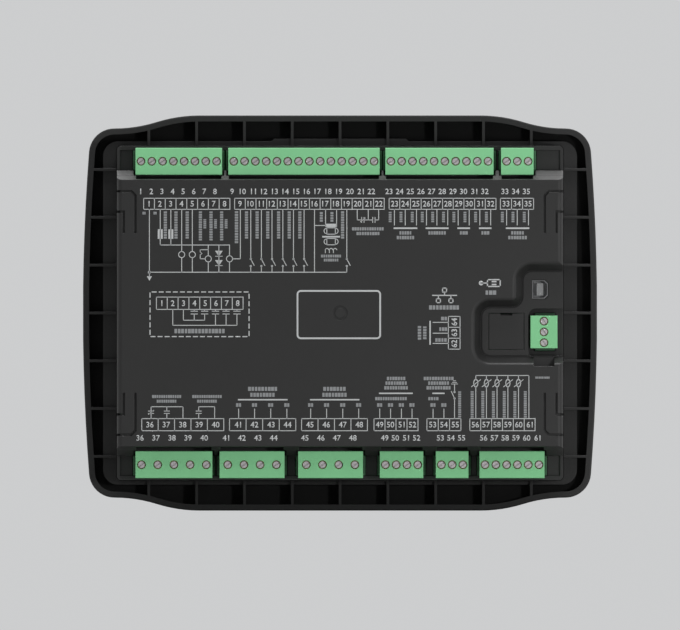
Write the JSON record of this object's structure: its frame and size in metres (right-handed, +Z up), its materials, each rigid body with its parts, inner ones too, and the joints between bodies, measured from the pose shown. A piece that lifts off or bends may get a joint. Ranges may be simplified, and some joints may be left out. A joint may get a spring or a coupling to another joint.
{
  "type": "genset controller",
  "caption": "Panel-mounted generator set controller: ribbed black bezel with display and keys, rear housing with green plug-in terminals and a socket pocket.",
  "frame": {"origin": "centre of the bezel's panel seat, the plane of its rim and ribs", "axes": "+Z up as installed, +Y towards the rear terminals, +X to the right seen from the display side"},
  "size_m": [0.2418, 0.0548, 0.186],
  "materials": {
    "bezel_plastic": "fine-grained black moulding",
    "housing_plastic": "fine-grained black moulding",
    "fascia_film": "printed film",
    "clear_lens": "clear acrylic",
    "display_glass": "dark glass in a black frame",
    "board_laminate": "green solder mask",
    "screw_steel": "plated steel",
    "switch_plastic": "black moulding",
    "lamp_clear": "frosted light guide",
    "key_grey": "matt grey moulding",
    "stop_key_red": "matt red moulding",
    "start_key_green": "matt green moulding",
    "plug_green": "matt green moulding",
    "header_green": "matt green moulding",
    "terminal_steel": "zinc-plated steel",
    "contact_metal": "plated brass",
    "socket_steel": "nickel-plated shell",
    "socket_plastic": "pale insert",
    "relay_case": "blue sealed case",
    "coil_case": "black potted coil",
    "capacitor_sleeve": "dark sleeve"
  },
  "bodies": {
    "controller": {"front_bezel": "bezel_plastic", "fascia_overlay": "fascia_film", "display_lens": "clear_lens", "lcd_module": "display_glass", "display_board": "board_laminate", "display_screws": "screw_steel", "key_switches": "switch_plastic", "status_lamps": "lamp_clear", "rear_housing": "housing_plastic", "housing_screws": "screw_steel", "main_board": "board_laminate", "board_screws": "screw_steel", "board_link": "switch_plastic", "terminal_screws": "terminal_steel", "wire_clamps": "contact_metal", "header_pins": "contact_metal", "service_socket": "socket_steel", "service_tongue": "socket_plastic", "network_jack": "switch_plastic", "network_cover": "housing_plastic", "cell_holder": "switch_plastic", "clock_cell": "screw_steel", "output_relays": "relay_case", "current_transformers": "coil_case", "supply_capacitors": "capacitor_sleeve", "plug_01_08": "plug_green", "plug_09_22": "plug_green", "plug_23_32": "plug_green", "plug_33_35": "plug_green", "plug_36_40": "plug_green", "plug_41_44": "plug_green", "plug_45_48": "plug_green", "plug_49_52": "plug_green", "plug_53_55": "plug_green", "plug_56_61": "plug_green", "plug_62_64": "plug_green", "header_01_08": "header_green", "header_09_22": "header_green", "header_23_32": "header_green", "header_33_35": "header_green", "header_36_40": "header_green", "header_41_44": "header_green", "header_45_48": "header_green", "header_49_52": "header_green", "header_53_55": "header_green", "header_56_61": "header_green", "header_62_64": "header_green"},
    "stop_key": {"stop_key": "stop_key_red"},
    "manual_key": {"manual_key": "key_grey"},
    "test_key": {"test_key": "key_grey"},
    "auto_key": {"auto_key": "key_grey"},
    "mute_key": {"mute_key": "key_grey"},
    "generator_key": {"generator_key": "key_grey"},
    "mains_key": {"mains_key": "key_grey"},
    "start_key": {"start_key": "start_key_green"},
    "up_key": {"up_key": "key_grey"},
    "down_key": {"down_key": "key_grey"},
    "enter_key": {"enter_key": "key_grey"},
    "exit_key": {"exit_key": "key_grey"}
  },
  "joints": [
    {"name": "stop_key_press", "type": "slide", "parent": "controller", "child": "stop_key", "axis": [0, 1, 0], "range_m": [0, 0.001], "stiffness_N_per_m": 1500},
    {"name": "manual_key_press", "type": "slide", "parent": "controller", "child": "manual_key", "axis": [0, 1, 0], "range_m": [0, 0.001], "stiffness_N_per_m": 1500},
    {"name": "test_key_press", "type": "slide", "parent": "controller", "child": "test_key", "axis": [0, 1, 0], "range_m": [0, 0.001], "stiffness_N_per_m": 1500},
    {"name": "auto_key_press", "type": "slide", "parent": "controller", "child": "auto_key", "axis": [0, 1, 0], "range_m": [0, 0.001], "stiffness_N_per_m": 1500},
    {"name": "mute_key_press", "type": "slide", "parent": "controller", "child": "mute_key", "axis": [0, 1, 0], "range_m": [0, 0.001], "stiffness_N_per_m": 1500},
    {"name": "generator_key_press", "type": "slide", "parent": "controller", "child": "generator_key", "axis": [0, 1, 0], "range_m": [0, 0.001], "stiffness_N_per_m": 1500},
    {"name": "mains_key_press", "type": "slide", "parent": "controller", "child": "mains_key", "axis": [0, 1, 0], "range_m": [0, 0.001], "stiffness_N_per_m": 1500},
    {"name": "start_key_press", "type": "slide", "parent": "controller", "child": "start_key", "axis": [0, 1, 0], "range_m": [0, 0.001], "stiffness_N_per_m": 1500},
    {"name": "up_key_press", "type": "slide", "parent": "controller", "child": "up_key", "axis": [0, 1, 0], "range_m": [0, 0.001], "stiffness_N_per_m": 1500},
    {"name": "down_key_press", "type": "slide", "parent": "controller", "child": "down_key", "axis": [0, 1, 0], "range_m": [0, 0.001], "stiffness_N_per_m": 1500},
    {"name": "enter_key_press", "type": "slide", "parent": "controller", "child": "enter_key", "axis": [0, 1, 0], "range_m": [0, 0.001], "stiffness_N_per_m": 1500},
    {"name": "exit_key_press", "type": "slide", "parent": "controller", "child": "exit_key", "axis": [0, 1, 0], "range_m": [0, 0.001], "stiffness_N_per_m": 1500}
  ]
}
